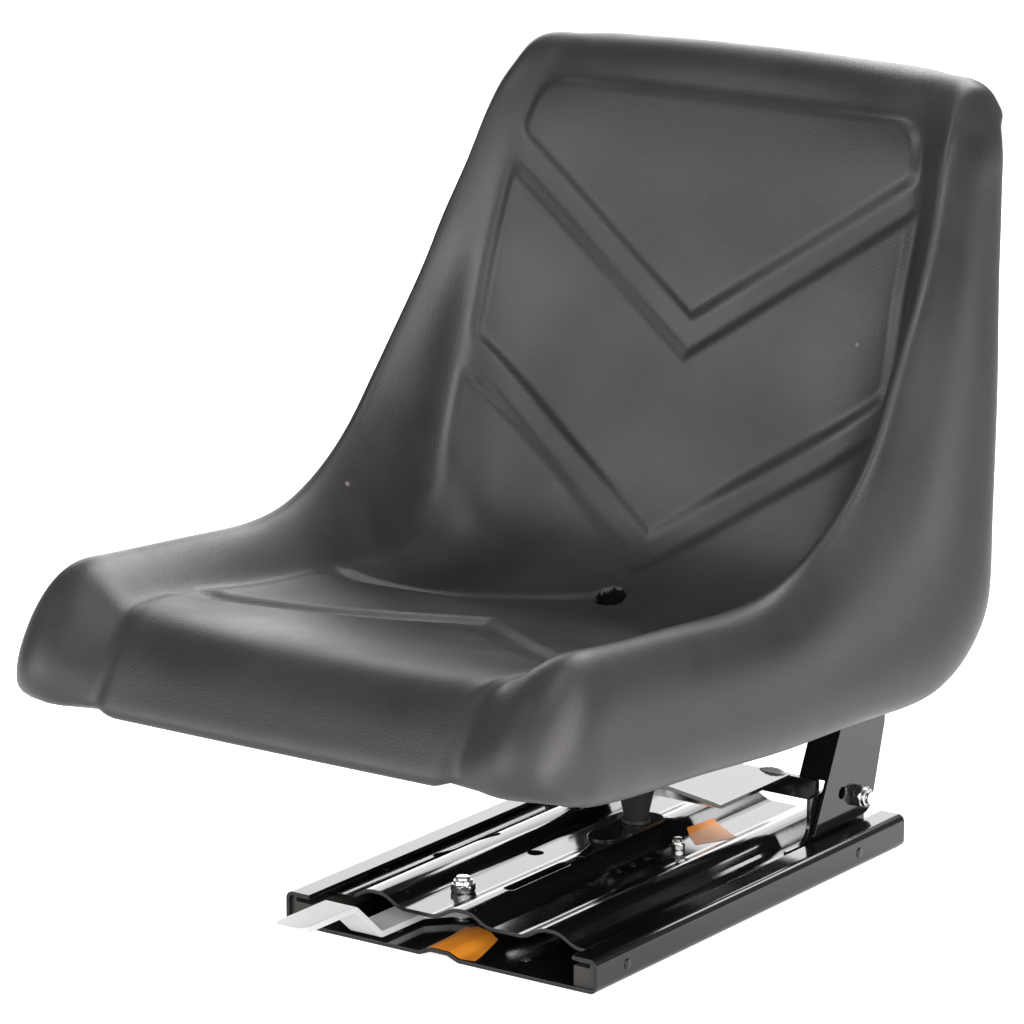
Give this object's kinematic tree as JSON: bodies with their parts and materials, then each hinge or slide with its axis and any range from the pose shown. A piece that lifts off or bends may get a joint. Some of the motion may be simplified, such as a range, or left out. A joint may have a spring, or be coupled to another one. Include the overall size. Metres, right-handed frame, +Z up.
{
  "type": "operator seat",
  "caption": "Moulded pan seat with chevron grooves on a hinged steel frame, carried by a fore-and-aft slide base with a latch lever",
  "frame": {"origin": "centre of the bolt pattern in the base plate, on the underside of the base plate", "axes": "X runs to the sitter's left, Y runs to the rear, Z runs up"},
  "size_m": [0.521, 0.6958, 0.6451],
  "materials": {
    "seat_foam": "matte moulded skin with a fine grain",
    "black_paint": "glossy black paint",
    "white_coat": "satin white coat",
    "zinc": "bright zinc plate",
    "glider_plastic": "dark moulded plastic",
    "rubber": "black moulded rubber"
  },
  "bodies": {
    "base": {"base_plate": "black_paint", "glider_front_left": "glider_plastic", "glider_front_right": "glider_plastic", "glider_rear_left": "glider_plastic", "glider_rear_right": "glider_plastic", "latch_rack": "black_paint"},
    "slide": {"slide_plate": "black_paint", "ear_left": "black_paint", "ear_right": "black_paint", "landing_pad": "black_paint", "lever_pivot_bolt": "zinc", "lever_spacer": "zinc", "lever_pivot_nut": "zinc", "stop_bolt": "zinc", "stop_nut": "zinc", "pivot_bolt_left": "zinc", "pivot_bolt_right": "zinc", "pivot_nut_left": "zinc", "pivot_nut_right": "zinc", "pivot_washers": "zinc"},
    "lever": {"latch_lever": "white_coat"},
    "seat": {"seat_shell": "seat_foam", "seat_carrier": "black_paint", "cheek_left": "black_paint", "cheek_right": "black_paint", "crossbar": "black_paint", "support_arm": "black_paint", "rubber_bumper": "rubber", "bumper_bolt": "zinc", "seat_bolts": "zinc"}
  },
  "joints": [
    {"name": "seat_slide", "type": "slide", "parent": "base", "child": "slide", "axis": [0, 1, 0], "range_m": [-0.0588, 0.0392]},
    {"name": "lever_swing", "type": "hinge", "parent": "slide", "child": "lever", "pos_m": [-0.04086, -0.131, 0.0085], "axis": [0, 0, 1], "range_deg": [-3, 4]},
    {"name": "seat_tilt", "type": "hinge", "parent": "slide", "child": "seat", "pos_m": [0, 0.186, 0.048], "axis": [-1, 0, 0], "range_deg": [0, 60]}
  ]
}
